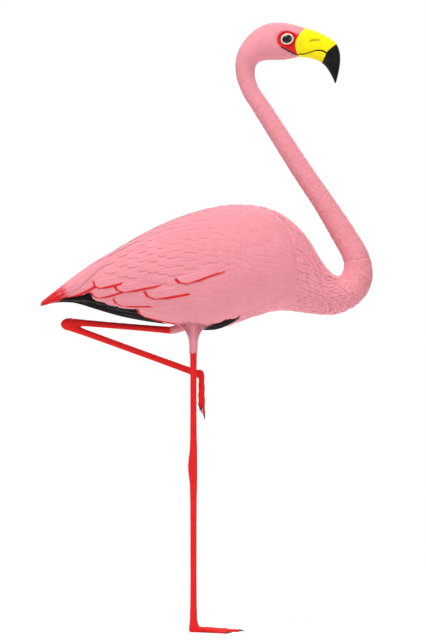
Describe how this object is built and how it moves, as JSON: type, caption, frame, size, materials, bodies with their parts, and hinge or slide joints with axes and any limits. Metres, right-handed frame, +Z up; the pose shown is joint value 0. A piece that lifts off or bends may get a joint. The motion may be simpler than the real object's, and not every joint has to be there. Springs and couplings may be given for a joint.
{
  "type": "flamingo model",
  "caption": "Life-size still model of a puna flamingo resting on one straight leg, the other leg folded up under the body and the neck raised in an S.",
  "frame": {"origin": "on the ground, at the middle of the standing foot's main pad", "axes": "+X the way the bird faces, +Y to its left, +Z up"},
  "size_m": [0.4989, 0.1422, 0.9142],
  "materials": {
    "plumage": "soft pale pink body feathers",
    "crimson_plumage": "crimson tertial feathers",
    "black_quills": "black flight feathers with a low sheen",
    "bare_legs": "scaled brick red leg skin",
    "bill": "smooth keratin, yellow with a black tip",
    "eyes": "wet glossy eyeball",
    "claws": "dark horn"
  },
  "bodies": {
    "root": {"tail": "plumage", "trunk": "plumage", "neck_base": "plumage", "neck_lower": "plumage", "neck_middle": "plumage", "neck_upper": "plumage", "head": "plumage", "wing_right": "plumage", "wing_left": "plumage", "tertials_right": "crimson_plumage", "tertials_left": "crimson_plumage", "quills_right": "black_quills", "quills_left": "black_quills", "secondaries_right": "black_quills", "secondaries_left": "black_quills", "eye_right": "eyes", "eye_left": "eyes", "bill_upper": "bill", "bill_lower": "bill", "thigh_right": "plumage", "thigh_left": "plumage", "shank_right": "bare_legs", "hock_right": "bare_legs", "tarsus_right": "bare_legs", "foot_right": "bare_legs", "claw_right_inner": "claws", "claw_right_middle": "claws", "claw_right_outer": "claws", "shank_left": "bare_legs", "hock_left": "bare_legs", "tarsus_left": "bare_legs", "foot_left": "bare_legs", "claw_left_inner": "claws", "claw_left_middle": "claws", "claw_left_outer": "claws"}
  },
  "joints": []
}
